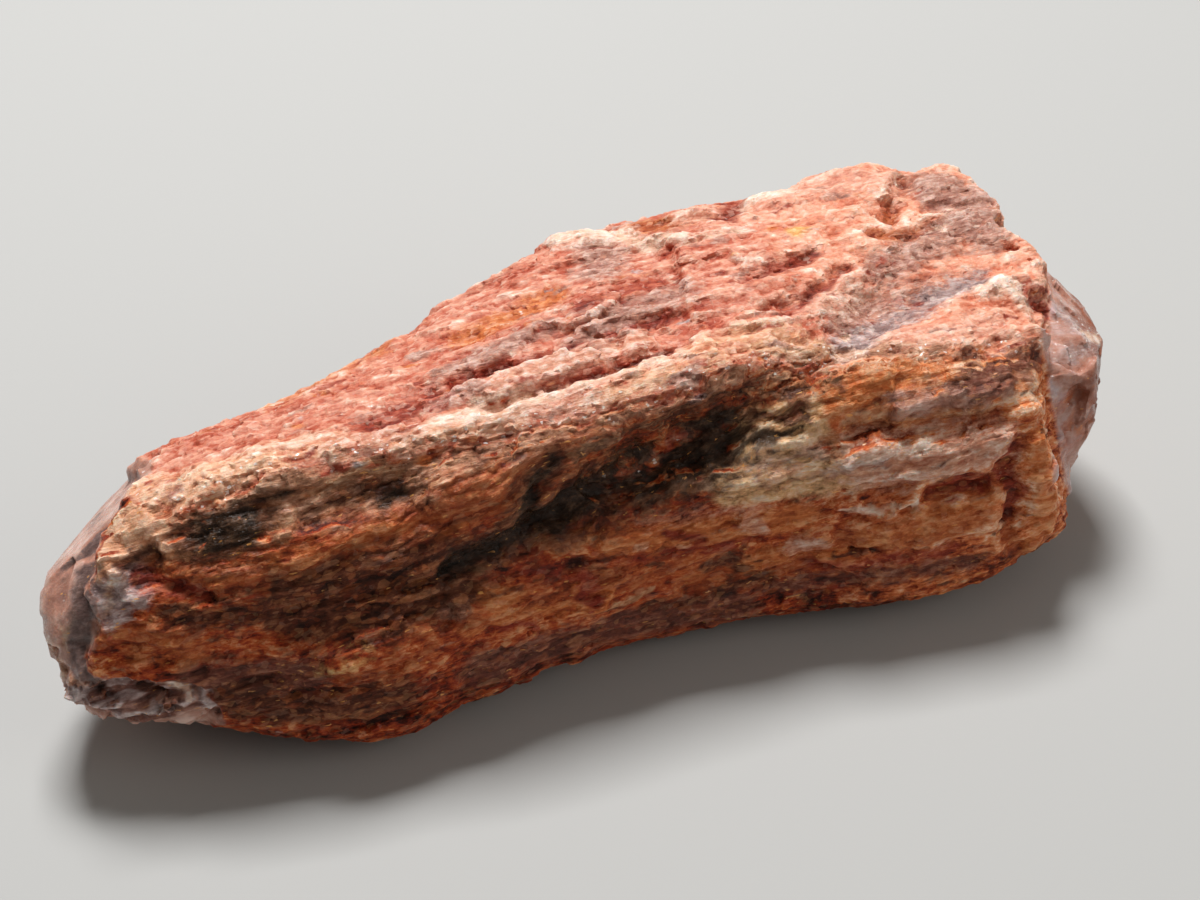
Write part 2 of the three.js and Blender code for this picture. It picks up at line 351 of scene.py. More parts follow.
FRONT_MARKS = marks("front", [
    # the narrow end's lip and what hangs below it
    ("peach", 0.85, 0.55, 1.8, (0.103, 0.845), (0.088, 0.815), (0.077, 0.78), (0.067, 0.74)),
    ("orange", 0.25, 0, 1, (0.097, 0.825), (0.086, 0.8), (0.078, 0.775)),
    ("peach", 0.9, 0.2, 0.9, (0.12, 0.86), (0.16, 0.885), (0.2, 0.9)),
    ("peat", 0.4, -0.25, 1.2, (0.074, 0.745), (0.086, 0.755), (0.1, 0.757)),
    ("lilac", 0.8, 0.3, 1.5, (0.05, 0.655), (0.063, 0.675), (0.075, 0.695)),
    ("cream", 0.3, 0, 0.7, (0.051, 0.64), (0.06, 0.69), (0.064, 0.715)),
    # under the crest: a grey-brown band with near-black glassy windows
    ("umber", 1.2, 0.1, 1.6, (0.17, 0.9), (0.23, 0.89), (0.29, 0.878), (0.34, 0.86), (0.39, 0.87),
     (0.44, 0.9)),
    ("tan", 0.4, 0, 1, (0.25, 0.9), (0.28, 0.905), (0.31, 0.885)),
    ("tan", 0.35, 0, 0.8, (0.235, 0.875), (0.26, 0.87), (0.3, 0.86)),
    ("umber", 0.7, 0, 1, (0.1, 0.79), (0.14, 0.8), (0.2, 0.845), (0.24, 0.83), (0.3, 0.85)),
    ("peat", 1.3, 0, 1, (0.135, 0.8), (0.16, 0.825), (0.19, 0.865)),
    ("night", 0.75, -0.2, 1.25, (0.142, 0.81), (0.16, 0.825), (0.18, 0.85)),
    ("peat", 0.8, -0.2, 0.95, (0.25, 0.85), (0.275, 0.855), (0.31, 0.84)),
    ("night", 0.35, -0.15, 0.9, (0.286, 0.817), (0.306, 0.832)),
    ("tan", 0.5, 0.35, 0.8, (0.11, 0.772), (0.15, 0.79), (0.18, 0.815), (0.21, 0.823)),
    # the orange shoulder and the dark hollow below it
    ("rust", 1.1, 0.2, 1, (0.085, 0.71), (0.13, 0.72), (0.2, 0.73), (0.25, 0.745), (0.3, 0.76),
     (0.39, 0.8)),
    ("orange", 0.5, 0, 0.7, (0.19, 0.742), (0.24, 0.75), (0.3, 0.765)),
    ("crimson", 0.4, -0.5, 1, (0.085, 0.7), (0.1, 0.695), (0.131, 0.678)),
    ("peat", 1.6, -0.45, 1.8, (0.2, 0.6), (0.245, 0.6), (0.29, 0.6), (0.33, 0.61)),
    ("peat", 0.8, -0.1, 1.1, (0.18, 0.565), (0.24, 0.54), (0.3, 0.535)),
    ("peat", 0.7, -0.1, 1, (0.1, 0.62), (0.15, 0.61), (0.19, 0.6)),
    ("rust", 1, 0.15, 1, (0.05, 0.585), (0.083, 0.577), (0.11, 0.53)),
    ("orange", 0.5, 0, 0.7, (0.065, 0.5), (0.09, 0.49), (0.12, 0.485)),
    # the low ledge, the smooth brown-violet band under it, and golden fibres
    ("plum", 1, -0.15, 1.2, (0.108, 0.41), (0.152, 0.39), (0.2, 0.391)),
    ("gold", 0.5, 0.05, 0.6, (0.21, 0.412), (0.23, 0.43), (0.25, 0.459)),
    ("peat", 1.3, 0, 1.1, (0.14, 0.32), (0.2, 0.27), (0.27, 0.28)),
    ("rust", 0.8, 0.1, 0.8, (0.19, 0.4), (0.257, 0.375), (0.3, 0.41)),
    # the valley, its branch, and the brown stripe between
    # the valley's near-black and dark brown are partly its dark amethyst and partly painted shade
    ("peat", 1.4, 0, 1.1, (0.31, 0.6), (0.37, 0.635), (0.41, 0.665), (0.44, 0.7)),
    ("night", 0.7, -0.35, 1.05, (0.33, 0.605), (0.37, 0.635), (0.405, 0.662), (0.435, 0.692)),
    ("peat", 1.9, 0, 1.2, (0.42, 0.68), (0.46, 0.71), (0.51, 0.74), (0.55, 0.75)),
    ("night", 0.9, -0.3, 1.5, (0.42, 0.68), (0.46, 0.71), (0.51, 0.74), (0.55, 0.75)),
    ("peat", 2.2, 0, 1.2, (0.5, 0.765), (0.54, 0.81), (0.57, 0.84)),
    ("night", 1.5, -0.4, 1.6, (0.51, 0.755), (0.545, 0.785), (0.58, 0.79)),
    ("peat", 1.1, 0, 1, (0.395, 0.7), (0.41, 0.8), (0.435, 0.88)),
    ("night", 0.45, -0.2, 1.05, (0.4, 0.7), (0.407, 0.76), (0.415, 0.81)),
    ("night", 0.35, -0.1, 0.9, (0.42, 0.83), (0.432, 0.865)),
    ("dusk", 0.5, 0, 1.1, (0.455, 0.86), (0.49, 0.875), (0.52, 0.87)),
    ("peat", 0.8, 0, 1.2, (0.51, 0.885), (0.55, 0.9), (0.61, 0.895)),
    ("dusk", 0.6, 0, 1, (0.61, 0.91), (0.65, 0.905), (0.69, 0.895)),
    ("peat", 0.6, 0, 1.1, (0.575, 0.838), (0.616, 0.843)),
    ("rust", 0.4, 0.3, 1, (0.417, 0.745), (0.436, 0.766), (0.448, 0.782)),
    ("rust", 0.9, 0.25, 1.2, (0.34, 0.82), (0.38, 0.83), (0.43, 0.86), (0.48, 0.875)),
    ("peat", 0.5, -0.15, 1, (0.375, 0.905), (0.4, 0.915)),
    ("umber", 0.9, 0.15, 1.3, (0.44, 0.92), (0.5, 0.925), (0.56, 0.945), (0.62, 0.945), (0.69, 0.92)),
    # the low front band
    ("orange", 0.5, 0.2, 0.7, (0.416, 0.6), (0.447, 0.59), (0.482, 0.578)),
    ("crimson", 0.8, -0.25, 1, (0.439, 0.503), (0.451, 0.44)),
    ("blush", 0.5, 0.3, 0.7, (0.317, 0.509), (0.334, 0.506)),
    ("orange", 0.7, 0.05, 1, (0.31, 0.54), (0.35, 0.53), (0.375, 0.49)),
    ("rust", 1.2, 0.1, 0.8, (0.28, 0.5), (0.38, 0.46), (0.5, 0.42), (0.58, 0.42)),
    ("orange", 0.5, 0.15, 0.8, (0.36, 0.44), (0.41, 0.4), (0.45, 0.37)),
    ("plum", 1.2, -0.1, 1.2, (0.343, 0.255), (0.42, 0.25), (0.496, 0.225), (0.59, 0.18)),
    ("orange", 0.7, 0.2, 1, (0.598, 0.366), (0.628, 0.371)),
    ("orange", 0.9, 0.1, 1, (0.47, 0.555), (0.53, 0.535), (0.6, 0.505), (0.65, 0.505)),
    ("salmon", 0.6, 0, 0.55, (0.5, 0.6), (0.56, 0.58), (0.61, 0.56)),
    ("crimson", 0.5, -0.15, 0.8, (0.4, 0.53), (0.45, 0.5), (0.5, 0.48)),
    ("crimson", 0.4, -0.15, 0.8, (0.52, 0.47), (0.57, 0.45), (0.61, 0.45)),
    ("blush", 0.5, 0.35, 0.8, (0.594, 0.523), (0.611, 0.485)),
    ("blush", 0.5, 0.35, 0.8, (0.635, 0.404), (0.663, 0.411)),
    ("orange", 0.5, 0.1, 1.2, (0.666, 0.352), (0.682, 0.342)),
    ("orange", 0.5, 0.1, 1, (0.425, 0.581), (0.439, 0.599), (0.455, 0.604)),
    ("orange", 0.4, 0.15, 0.9, (0.469, 0.558), (0.486, 0.556), (0.505, 0.555)),
    ("crimson", 0.25, -0.15, 1, (0.522, 0.536), (0.54, 0.524), (0.558, 0.491)),
    ("peat", 0.45, -0.15, 0.9, (0.438, 0.504), (0.451, 0.504), (0.463, 0.47)),
    ("orange", 0.3, 0.15, 1.2, (0.438, 0.441), (0.453, 0.445), (0.465, 0.4), (0.459, 0.354),
     (0.442, 0.369)),
    ("crimson", 0.25, -0.15, 1.3, (0.443, 0.41), (0.452, 0.395), (0.459, 0.392)),
    # these two small peach spots are painted glints
    ("peach", 0.2, 0.15, 0.9, (0.493, 0.517), (0.503, 0.514)),
    ("peach", 0.2, 0.15, 0.85, (0.534, 0.482), (0.545, 0.481)),
    ("peat", 0.5, -0.1, 0.95, (0.561, 0.374), (0.574, 0.386), (0.591, 0.403)),
    ("orange", 0.6, 0.1, 1.1, (0.598, 0.342), (0.611, 0.366), (0.625, 0.382)),
    ("tan", 0.25, 0.1, 1, (0.464, 0.338), (0.485, 0.341), (0.506, 0.348)),
    ("crimson", 0.3, -0.1, 1, (0.36, 0.4), (0.385, 0.385), (0.4, 0.36)),
    ("orange", 0.25, 0.1, 0.9, (0.33, 0.43), (0.35, 0.42)),
    # the wide end's front: a pale wash, olive beside the valley, then ridges and grooves along the grain
    # this pale wash of cream and peach is painted light
    ("cream", 1.5, 0, 0.52, (0.6, 0.69), (0.65, 0.665), (0.7, 0.645)),
    ("cream", 0.8, 0, 0.6, (0.68, 0.66), (0.71, 0.645)),
    ("peach", 1.3, 0, 0.6, (0.68, 0.62), (0.73, 0.61), (0.77, 0.6)),
    ("olive", 0.6, 0, 0.9, (0.6, 0.8), (0.635, 0.825), (0.67, 0.83)),
    ("olive", 0.5, 0.15, 1, (0.6, 0.725), (0.63, 0.75), (0.67, 0.765)),
    ("olive", 0.7, 0.1, 1.1, (0.57, 0.69), (0.61, 0.67), (0.65, 0.655), (0.69, 0.66)),
    ("olive", 0.7, 0.1, 1.2, (0.58, 0.63), (0.64, 0.615), (0.7, 0.6)),
    ("olive", 0.6, 0, 1.1, (0.6, 0.765), (0.63, 0.72), (0.66, 0.67)),
    ("tan", 0.5, 0, 0.9, (0.66, 0.76), (0.7, 0.69), (0.75, 0.58)),
    ("rust", 0.8, -0.1, 1.2, (0.64, 0.4), (0.7, 0.395), (0.75, 0.4), (0.8, 0.41)),
    ("crimson", 0.5, -0.1, 0.9, (0.66, 0.31), (0.72, 0.31), (0.78, 0.32)),
    ("rust", 0.9, -0.1, 1.2, (0.54, 0.32), (0.61, 0.32), (0.67, 0.34)),
    ("peat", 0.5, -0.1, 0.9, (0.5, 0.27), (0.57, 0.255), (0.62, 0.27)),
    ("dusk", 0.25, -0.1, 0.6, (0.57, 0.65), (0.62, 0.635), (0.67, 0.63)),
    ("peat", 0.25, -0.1, 0.6, (0.61, 0.69), (0.65, 0.69), (0.7, 0.7)),
    ("peat", 0.25, -0.2, 1.1, (0.59, 0.8), (0.63, 0.81), (0.66, 0.8)),
    ("night", 0.22, -0.2, 1.1, (0.59, 0.765), (0.63, 0.765), (0.655, 0.77)),
    ("night", 0.2, -0.15, 0.7, (0.58, 0.71), (0.61, 0.715), (0.64, 0.725)),
    ("peat", 0.25, -0.15, 1, (0.6, 0.845), (0.64, 0.86), (0.67, 0.87)),
    ("olive", 0.35, 0, 1.2, (0.605, 0.79), (0.64, 0.79), (0.67, 0.785)),
    ("olive", 0.4, 0, 1.2, (0.6, 0.74), (0.63, 0.74), (0.66, 0.745)),
    ("olive", 0.5, 0.2, 0.9, (0.54, 0.69), (0.58, 0.672), (0.63, 0.66)),
    ("cream", 0.3, 0, 0.7, (0.605, 0.705), (0.64, 0.7), (0.67, 0.695)),
    ("peach", 0.3, 0, 0.9, (0.62, 0.675), (0.65, 0.67)),
    ("cream", 0.3, 0, 0.6, (0.615, 0.755), (0.64, 0.76)),
    ("tan", 0.7, 0.1, 0.9, (0.7, 0.765), (0.76, 0.76), (0.82, 0.765)),
    ("salmon", 0.7, 0.1, 0.8, (0.7, 0.68), (0.75, 0.675), (0.82, 0.68)),
    ("orange", 1.2, 0.2, 1, (0.66, 0.85), (0.714, 0.847), (0.77, 0.835), (0.81, 0.843)),
    ("plum", 1, -0.3, 1.6, (0.819, 0.855), (0.85, 0.853), (0.88, 0.842)),
    ("mauve", 0.8, 0.45, 1, (0.745, 0.797), (0.79, 0.803), (0.84, 0.808)),
    ("rust", 0.5, -0.4, 0.8, (0.7, 0.735), (0.75, 0.716), (0.8, 0.714), (0.83, 0.715)),
    ("lilac", 0.5, 0.2, 0.8, (0.678, 0.652), (0.7, 0.668), (0.721, 0.671)),
    ("cream", 0.4, 0.2, 0.8, (0.655, 0.714), (0.668, 0.699)),
    ("blush", 1.2, 0.5, 1.2, (0.7, 0.65), (0.74, 0.628), (0.78, 0.635), (0.825, 0.645)),
    ("cream", 0.4, 0, 0.8, (0.69, 0.7), (0.74, 0.69), (0.78, 0.7)),
    ("crimson", 0.5, -0.8, 1.4, (0.765, 0.515), (0.79, 0.525), (0.815, 0.515)),
    ("orange", 0.5, 0.1, 0.9, (0.75, 0.47), (0.79, 0.46), (0.82, 0.47)),
    ("rust", 0.45, -0.3, 1, (0.69, 0.581), (0.736, 0.551)),
    ("cream", 0.25, 0.35, 0.8, (0.68, 0.523), (0.7, 0.504), (0.721, 0.487), (0.75, 0.504)),
    ("orange", 0.9, 0.3, 0.7, (0.7, 0.42), (0.76, 0.41), (0.82, 0.39)),
    ("plum", 0.7, -0.3, 0.9, (0.61, 0.239), (0.68, 0.246), (0.75, 0.257), (0.81, 0.238)),
    ("crimson", 0.6, -0.6, 1.1, (0.842, 0.62), (0.832, 0.553), (0.844, 0.46), (0.838, 0.38)),
    ("rust", 0.5, -0.35, 0.9, (0.846, 0.36), (0.838, 0.3), (0.85, 0.22)),
    ("orange", 0.9, 0.35, 1.1, (0.865, 0.6), (0.87, 0.53)),
    ("orange", 0.9, 0.35, 1.1, (0.872, 0.45), (0.878, 0.35), (0.871, 0.222)),
])

# The cliff across the top, and the front's two ledges: under the orange shoulder, and low down by the tip.
CLIFF = (None, 0.35, -0.5, 1, (0.6, 0.5), (0.612, 0.6), (0.625, 0.72), (0.612, 0.83))
SHOULDER_LEDGE = ("tan", 0.2, 0.35, 0.5, (0.29, 0.712), (0.24, 0.682), (0.19, 0.662), (0.14, 0.655))
LOW_LEDGE = ("tan", 0.2, 0.3, 0.45, (0.245, 0.483), (0.224, 0.468), (0.164, 0.468), (0.108, 0.474))
LEDGES = (marks("top", [CLIFF], reach=4) + marks("front", [SHOULDER_LEDGE], reach=1.8)
          + marks("front", [LOW_LEDGE], reach=2))


# The bare ends: on the narrow tip a slate hollow under the mantle's lip, broken edges, and striped chips low
# down; on the wide end's core a few stains.
BARE_MARKS = marks("front", [
    ("slate", 0.6, -0.2, 1.2, (0.117, 0.828), (0.092, 0.813), (0.071, 0.765), (0.054, 0.73), (0.041, 0.655),
     (0.03, 0.566), (0.026, 0.502), (0.024, 0.45)),
    ("tan", 0.15, 0.15, 0.9, (0.041, 0.665), (0.029, 0.609), (0.018, 0.539), (0.012, 0.477)),
    ("lilac", 0.15, 0.1, 0.9, (0.06, 0.7), (0.045, 0.62), (0.036, 0.53)),
    ("lilac", 0.2, 0.15, 0.8, (0.024, 0.527), (0.019, 0.475), (0.016, 0.429)),
    ("cream", 0.35, 0.05, 1, (0.003, 0.475), (0.004, 0.455)),
    ("umber", 0.4, -0.1, 1, (0.005, 0.42), (0.02, 0.39), (0.012, 0.36)),
    ("mauve", 1.6, 0, 0.7, (0.02, 0.34), (0.06, 0.335), (0.12, 0.34)),
    ("lilac", 0.5, 0, 0.8, (0.008, 0.6), (0.014, 0.66), (0.03, 0.72)),
    ("peat", 0.35, -0.1, 1.1, (0.035, 0.44), (0.03, 0.41), (0.04, 0.385)),
    ("lilac", 0.3, 0.12, 1.6, (0.012, 0.365), (0.04, 0.4), (0.073, 0.425), (0.1, 0.435)),
    ("lilac", 0.3, 0.12, 1.6, (0.03, 0.345), (0.06, 0.37), (0.085, 0.395), (0.104, 0.405)),
    ("lilac", 0.25, 0.15, 1.2, (0.045, 0.3), (0.075, 0.325), (0.1, 0.36)),
    ("plum", 0.2, -0.15, 1.6, (0.02, 0.35), (0.045, 0.385), (0.075, 0.41), (0.1, 0.422)),
    ("plum", 0.22, -0.15, 1.6, (0.035, 0.325), (0.065, 0.35), (0.092, 0.38)),
    ("plum", 0.25, -0.1, 1.3, (0.05, 0.28), (0.08, 0.305), (0.11, 0.33)),
    ("cream", 0.25, 0.1, 0.9, (0.085, 0.425), (0.095, 0.4), (0.1, 0.37)),
    ("lilac", 0.5, 0.25, 1.7, (0.108, 0.42), (0.12, 0.385), (0.119, 0.34)),
    ("peat", 0.2, -0.25, 1.4, (0.066, 0.4), (0.078, 0.375), (0.09, 0.33)),
]) + marks("end", [
    ("lilac", 1, 0, 0.7, (0.34, 0.758), (0.288, 0.724), (0.236, 0.714)),
    ("cream", 0.45, 0, 1, (0.29, 0.69), (0.3, 0.67)),
    ("rust", 0.9, 0, 0.7, (0.17, 0.6), (0.15, 0.5), (0.12, 0.4)),
])

# The flat breaks on the glassy cores of the two ends: a spot on each, and the way it faces.
TIP_BREAKS = [
    ((0.055, 0.56, 0.53), (-0.62, 0.78, 0.05)),
    ((0.115, 0.54, 0.78), (-0.55, 0.45, 0.70)),
    ((0.055, 0.55, 0.27), (-0.60, 0.55, -0.58)),
    ((0.024, 0.49, 0.40), (-0.90, 0.42, -0.12)),
    ((0.13, 0.645, 0.62), (-0.30, 0.90, 0.30)),
]
CORE_BREAKS = [
    ((0.985, 0.40, 0.665), (0.62, -0.12, 0.78)),
    ((0.985, 0.29, 0.60), (0.80, -0.58, 0.12)),
    ((0.992, 0.42, 0.61), (0.90, -0.10, -0.42)),
    ((0.968, 0.20, 0.50), (0.72, -0.66, -0.22)),
    ((0.982, 0.52, 0.62), (0.82, 0.48, 0.30)),
]


# Where the mantle's lip lies at each turn round the narrow end, in degrees, as a share of the length.
NARROW_LIP = [(-180, 0.1), (-90, 0.105), (-40, 0.115), (-22, 0.117), (-10, 0.092), (-1, 0.068), (9, 0.062),
              (19, 0.048), (39, 0.048), (58, 0.043), (79, 0.034), (94, 0.026), (96, 0.05), (98, 0.1),
              (105, 0.122), (120, 0.124), (135, 0.115), (150, 0.105), (180, 0.1)]
# How far the lip stands up at each turn, in millimetres.
LIP_RISE = [(-180, 0.1), (-60, 0.08), (-10, 0.15), (15, 0.4), (40, 0.3), (95, 0.2), (110, 0.3), (180, 0.1)]
# The dark valley on the front: its height at each share of the length, and how far the fibres rise over it.
VALLEY = [(0.2, 0.5), (0.33, 0.58), (0.42, 0.68), (0.5, 0.75), (0.58, 0.84), (0.66, 0.92)]
CLIMB = [(0.22, 0), (0.35, 0.07), (0.58, 0.34), (0.64, 0.36)]


def turn_round_tip(places):
    """The angle round the narrow end, in degrees: 0 at the top, 90 at the front, -90 at the back."""
    middle = spot(0, 0.39, 0.463)
    return np.degrees(np.arctan2(middle[1] - places[:, 1], places[:, 2] - middle[2]))


def behind_tip(places):
    """1 on the back of the narrow end, and 0 on its top and front."""
    return smooth_step(-turn_round_tip(places), 15, 45)


def distance_past_narrow_rim(places):
    """How far along +X of the mantle's ragged lip at the narrow end each place lies, in millimetres."""
    lip = LOW_MM[0] + LENGTH * np.interp(turn_round_tip(places), *zip(*NARROW_LIP))
    ragged = 0.4 * clouds(places, 1.2, seed=81, octaves=3)
    ragged += 1.3 * behind_tip(places) * clouds(places, (2.0, 3.0, 3.0), seed=82, octaves=3)
    return places[:, 0] - lip + ragged


def distance_past_wide_break(places):
    """How far outside the mantle's two broken end faces each place lies, in millimetres."""
    back = (places - spot(0.948, 0.613, 0.857)) @ np.array([1, 0, 0.12])
    front = (places - spot(0.909, 0.192, 0.579)) @ np.array([0.81, -0.52, 0.28])
    return np.maximum(back, front)


def grain_flow(places, front):
    """The places with their heights bent, so that straight fibres rise towards the valley on the front."""
    along = (places[:, 0] - LOW_MM[0]) / LENGTH
    valley = LOW_MM[2] + HEIGHT * np.interp(along, *zip(*VALLEY))
    climb = HEIGHT * np.interp(along, *zip(*CLIMB))
    above = smooth_step(places[:, 2] - valley, -3.0, 1.0)
    bent = wavered(places, 0.35, 4.0, seed=91)
    bent[:, 2] -= climb * above * front
    return bent


def all_marks(zones):
    """Every mark, with how much each place can take of it."""
    faces = {"top": zones.top, "front": zones.front, "end": zones.end}
    for mark in TOP_MARKS + FRONT_MARKS + LEDGES:
        yield mark, faces[mark.face] * zones.mantle
    for mark in BARE_MARKS:
        yield mark, faces[mark.face] * zones.bare


class Zones:
    """How much each place on the skin belongs to each part of the crystal, from 0 to 1."""
    def __init__(self, places, facing):
        self.along, self.across, self.up = ((places - LOW_MM) / SPAN_MM).T
        crest = np.interp(self.along, *zip(*CREST))
        crest += 0.02 * clouds(places, (2.0, 1.0, 1.0), seed=21, octaves=3)
        behind_crest = smooth_step(self.across - crest, -0.05, 0.03)
        self.top = behind_crest * smooth_step(facing[:, 2], 0.0, 0.4)
        self.front = (1 - behind_crest) * smooth_step(-facing[:, 1], -0.1, 0.3)
        self.edge = np.exp(-((self.across - crest) / 0.035) ** 2) * smooth_step(facing[:, 2], 0.0, 0.4)
        self.low = 1 - smooth_step(self.up, 0.12, 0.36)
        self.behind = (1 - self.top) * (1 - self.front)
        self.left = 1 - smooth_step(self.along, 0.32, 0.42)
        self.right = smooth_step(self.along, 0.66, 0.76)
        self.middle = 1 - self.left - self.right
        self.past_tip = distance_past_narrow_rim(places)
        self.tip = smooth_step(-self.past_tip, -0.15, 0.15)
        self.past_wide = distance_past_wide_break(places)
        core = smooth_step(self.past_wide, 0.2, 0.45) * (1 - smooth_step(self.across, 0.61, 0.65))
        self.bare = np.maximum(self.tip, core)
        self.end = smooth_step(facing[:, 0], 0.0, 0.3)
        self.mantle = 1 - self.bare


def carve_forms(skin):
    """The large relief: the marks, the mantle's plates and lumps, the lip round the tip, the bare ends."""
    places = places_of(skin)
    zones = Zones(places, directions_of(skin))
    heights = np.zeros(len(places))
    ragged = wavered(places, 0.35, 1.6, seed=101)
    for mark, on_face in all_marks(zones):
        distance, side = path_distance(ragged, mark.path, mark.face)
        if mark.reach:
            step = smooth_step(distance * side, -mark.width, mark.width)
            heights += mark.height * step * np.exp(-(distance / mark.reach) ** 2) * on_face
        else:
            slab = 4 if mark.height > 0 else 2
            heights += mark.height * np.exp(-(distance / mark.width) ** slab) * on_face

    wavy = wavered(places, 0.5, 3.0, seed=5)
    top, front, behind = zones.top, zones.front, zones.behind
    left, middle, right = zones.left, zones.middle, zones.right
    long_plates = plates(wavy, (8.0, 1.8, 1.8), seed=3, lift=0.38, tilt=0.18)
    short_plates = plates(ragged, (4.0, 1.1, 1.1), seed=4, lift=0.2, tilt=0.18)
    lumps = crumbs(wavy, (4.0, 2.6, 2.6), seed=7) - 0.4
    blocks = plates(ragged, (2.2, 1.5, 1.5), seed=8, lift=0.17, tilt=0.28)
    relief = long_plates * (top * (0.2 + 0.45 * middle) + 0.4 * front + 0.55 * behind)
    relief += short_plates * (top * (0.25 + 0.3 * middle) + front * (0.2 + 0.3 * right) + 0.45 * behind)
    relief += lumps * (top * (0.1 + 0.15 * right) + 0.1 * front + 0.3 * behind)
    relief += blocks * (top * (0.3 * left + 0.1 * middle + 0.3 * right) + 0.15 * front + 0.25 * behind)
    relief += 0.15 * clouds(places, 5.0, seed=9)
    rim = smooth_step(zones.along, 0.84, 0.9)
    relief += rim * (1 - 0.6 * front) * plates(ragged, (3.5, 1.6, 2.2), seed=15, lift=0.4, tilt=0.2)
    by_lip = front * (1 - smooth_step(zones.past_tip, 0.5, 3.5))
    heights += zones.mantle * relief * (1 - 0.7 * by_lip)

    # the mantle's lip stands up round the tip; broad chips lie on both bare ends, thin ones low on the tip
    turn = turn_round_tip(places)
    lip = np.interp(turn, *zip(*LIP_RISE))
    heights += lip * (1 - zones.tip) * np.exp(-(zones.past_tip / 2.5) ** 2)
    broken = wavered(places, 0.2, 2.0, seed=31)
    heights += zones.bare * plates(broken, (3.6, 2.6, 2.4), seed=13, lift=0.12, tilt=0.22)
    low_chips = smooth_step(turn, 90, 100) * zones.tip
    heights += low_chips * plates(ragged, (2.0, 0.7, 0.7), seed=14, lift=0.17, tilt=0.45)
    push_out(skin, heights)
    places = cut_flat(places_of(skin), CORE_BREAKS, smooth_step(zones.past_wide, 0.0, 0.6))
    set_places(skin, cut_flat(places, TIP_BREAKS, smooth_step(-zones.past_tip, 0.0, 0.6)))
    hold_in_box(skin)


def carve_grain(skin):
    """The fine relief: splinters and fibres along the grain, crumbs on top, and chips on the bare ends."""
    places = places_of(skin)
    zones = Zones(places, directions_of(skin))
    top, front, behind = zones.top, zones.front, zones.behind
    flow = grain_flow(places, front)
    splinters = plates(wavered(flow, 0.2, 1.2, seed=41), (3.6, 0.65, 0.65), seed=17, lift=0.14, tilt=0.14)
    fibres = clouds(flow / np.array([4.5, 0.4, 0.4]), 1.0, seed=51, octaves=3)
    loose = wavered(places, 0.2, 0.7, seed=61)
    facets = plates(loose, (1.0, 0.6, 0.6), seed=19, lift=0.09, tilt=0.35)
    small_facets = plates(loose, (0.5, 0.36, 0.36), seed=20, lift=0.045, tilt=0.35)
    relief = splinters * (top * (0.35 + 0.2 * zones.middle) + 0.4 * front + 0.5 * behind)
    relief += 0.1 * fibres * (0.3 * top + 1.2 * front + 0.6 * behind)
    relief += facets * (top * (0.25 + 0.15 * zones.left) + 0.1 * front + 0.3 * behind)
    relief += small_facets * (0.1 + top * (0.3 + 0.2 * zones.left + 0.1 * zones.right))
    relief += 0.05 * clouds(places, 0.6, seed=71, octaves=3)
    turn = turn_round_tip(places)
    chips = zones.tip * smooth_step(turn, 97, 103) * (1 - smooth_step(turn, 140, 150))
    glassy = chips * plates(loose, (2.4, 0.6, 0.5), seed=23, lift=0.05, tilt=0.3)
    glassy += 0.02 * (1 - chips) * clouds(places, 0.8, seed=72)
    glassy += zones.right * plates(loose, (1.8, 1.5, 1.1), seed=24, lift=0.04, tilt=0.12)
    push_out(skin, zones.mantle * relief + zones.bare * glassy)


# Patches of tint strewn where no mark sets them: how much of the mantle's top, its front, its far sides and
# the back of the narrow tip each takes, and how long, deep and tall its patches are, in millimetres.
STREWN = {
    "crimson": (0.30, 0.20, 0.30, 0.00, (2.5, 0.7, 0.7)),
    "orange": (0.25, 0.25, 0.35, 0.05, (2.5, 0.9, 0.9)),
    "mauve": (0.30, 0.05, 0.30, 0.25, (3.0, 1.2, 1.2)),
    "lilac": (0.12, 0.05, 0.18, 0.35, (2.0, 0.9, 0.9)),
    "cream": (0.20, 0.04, 0.18, 0.08, (1.5, 0.7, 0.7)),
    "tan": (0.05, 0.22, 0.30, 0.00, (2.5, 0.7, 0.7)),
    "peat": (0.00, 0.28, 0.24, 0.00, (3.5, 0.9, 0.9)),
    "plum": (0.08, 0.15, 0.18, 0.30, (2.5, 1.0, 1.0)),
    "night": (0.00, 0.05, 0.20, 0.00, (4.5, 1.4, 1.4)),
    "slate": (0.00, 0.00, 0.00, 0.35, (2.5, 1.5, 1.5)),
}


def strewn(places, zones, name):
    """How much of a tint each place gets by chance."""
    if name not in STREWN:
        return np.zeros(len(places))
    on_top, on_front, on_far_side, on_tip, size = STREWN[name]
    share = zones.mantle * (on_top * zones.top + on_front * zones.front + on_far_side * zones.behind)
    share += on_tip * zones.tip * behind_tip(places)
    chance = clouds(places, size, seed=200 + len(name) + ord(name[0]), octaves=3)
    return 0.9 * smooth_step(chance, 0.75 - 1.5 * share, 1.25 - 1.5 * share) * smooth_step(share, 0, 0.05)


